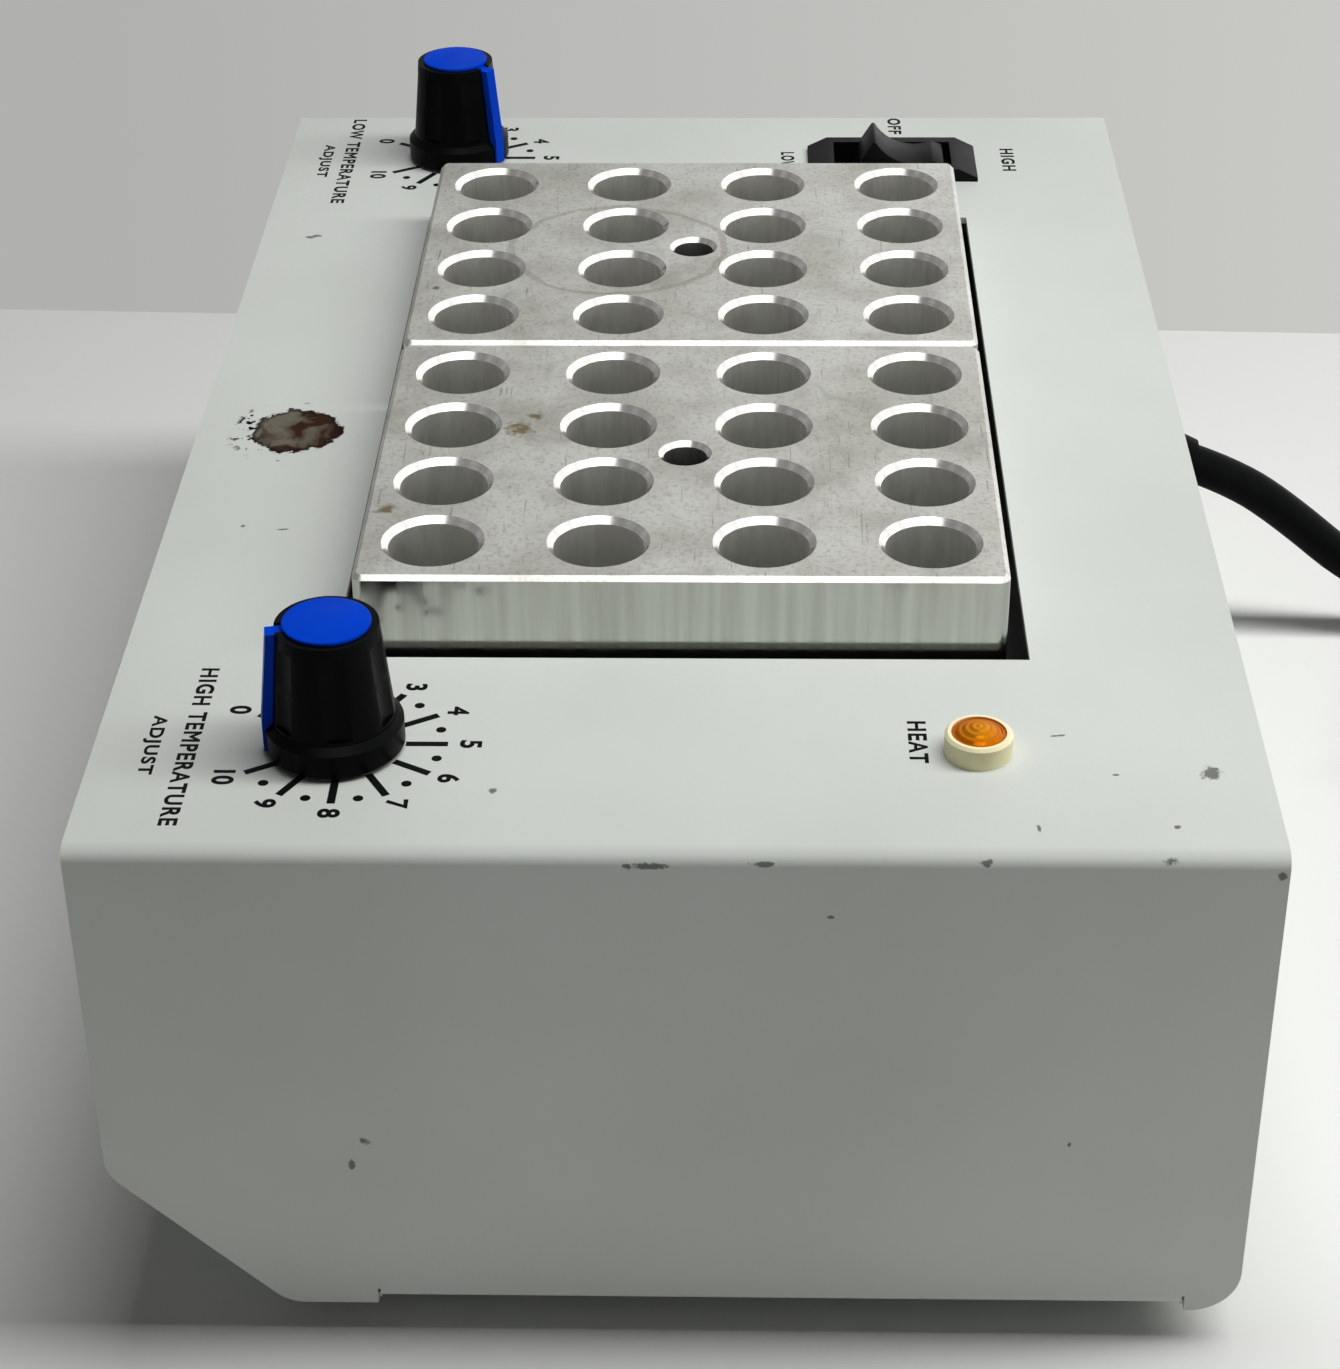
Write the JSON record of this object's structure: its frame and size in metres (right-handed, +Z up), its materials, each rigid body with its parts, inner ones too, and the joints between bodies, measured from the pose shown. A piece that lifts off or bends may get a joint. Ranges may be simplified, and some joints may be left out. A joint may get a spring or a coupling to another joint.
{
  "type": "dry block heater",
  "caption": "Bench dry heater: a folded steel case with bored aluminium blocks standing in a heated well, temperature dials, a rocker switch, a heat lamp and a mains lead.",
  "frame": {"origin": "on the bench, under the middle of the case", "axes": "+X to the user's right along the case, +Y to the back where the lead comes out, +Z up"},
  "size_m": [0.258, 0.3514, 0.1063],
  "materials": {
    "case_paint": "fine-textured light grey enamel",
    "foot_rubber": "moulded matt rubber",
    "screw_steel": "zinc-plated steel",
    "well_steel": "dull bare sheet",
    "block_aluminium": "machined, handled",
    "plate_aluminium": "plain milled",
    "element_mica": "pressed mica",
    "fibre": "pressed ceramic fibre",
    "knob_black": "moulded, fine matt",
    "cap_blue": "moulded, satin",
    "control_grey": "moulded",
    "switch_black": "moulded, satin",
    "lamp_ivory": "moulded ivory",
    "lamp_amber": "clear amber",
    "board_green": "laminate with solder resist",
    "board_plastic": "moulded nylon",
    "cord_rubber": "black cord jacket",
    "pin_brass": "drawn brass"
  },
  "bodies": {
    "case": {"cover": "case_paint", "base_wrap": "case_paint", "foot_left_front": "foot_rubber", "foot_right_front": "foot_rubber", "foot_right_back": "foot_rubber", "foot_left_back": "foot_rubber", "foot_screw_left_front": "screw_steel", "foot_screw_right_front": "screw_steel", "foot_screw_right_back": "screw_steel", "foot_screw_left_back": "screw_steel", "clamp_screw_left_front": "screw_steel", "clamp_screw_right_front": "screw_steel", "clamp_screw_right_back": "screw_steel", "clamp_screw_left_back": "screw_steel", "pan_nut_left_front": "screw_steel", "pan_nut_right_front": "screw_steel", "pan_nut_right_back": "screw_steel", "pan_nut_left_back": "screw_steel", "low_control_nut": "screw_steel", "high_control_nut": "screw_steel", "lamp_clip": "screw_steel", "well_liner": "well_steel", "insulation_pan": "well_steel", "clamp_plate": "well_steel", "temperature_sensor": "well_steel", "heater_plate": "plate_aluminium", "heat_sink": "plate_aluminium", "heater_element": "element_mica", "insulation_pad": "fibre", "insulation_ring": "fibre", "low_control_body": "control_grey", "high_control_body": "control_grey", "triac": "control_grey", "thermal_cutout": "control_grey", "switch_housing": "switch_black", "lamp_bezel": "lamp_ivory", "lamp_lens": "lamp_amber", "circuit_board": "board_green", "board_standoff_1": "board_plastic", "board_standoff_2": "board_plastic", "board_standoff_3": "board_plastic", "board_standoff_4": "board_plastic", "terminal_block": "board_plastic", "strain_relief": "cord_rubber", "power_cord": "cord_rubber", "cord_coil": "cord_rubber", "cord_tie": "cord_rubber", "plug": "cord_rubber", "plug_pins": "pin_brass"},
    "left_block": {"heating_block_left": "block_aluminium"},
    "right_block": {"heating_block_right": "block_aluminium"},
    "low_dial": {"low_knob": "knob_black", "low_knob_cap": "cap_blue", "low_control_shaft": "screw_steel"},
    "high_dial": {"high_knob": "knob_black", "high_knob_cap": "cap_blue", "high_control_shaft": "screw_steel"},
    "rocker": {"switch_rocker": "switch_black"}
  },
  "joints": [
    {"name": "left_block_lift", "type": "slide", "parent": "case", "child": "left_block", "axis": [0, 0, 1], "range_m": [0, 0.06]},
    {"name": "right_block_lift", "type": "slide", "parent": "case", "child": "right_block", "axis": [0, 0, 1], "range_m": [0, 0.06]},
    {"name": "low_dial_turn", "type": "hinge", "parent": "case", "child": "low_dial", "pos_m": [-0.1073, -0.0475, 0.086], "axis": [0, 0, 1], "range_deg": [-118, 182]},
    {"name": "high_dial_turn", "type": "hinge", "parent": "case", "child": "high_dial", "pos_m": [0.1032, -0.0475, 0.086], "axis": [0, 0, 1], "range_deg": [0, 300]},
    {"name": "rocker_tilt", "type": "hinge", "parent": "case", "child": "rocker", "pos_m": [-0.1024, 0.0376, 0.0835], "axis": [1, 0, 0], "range_deg": [-44, 0]}
  ]
}
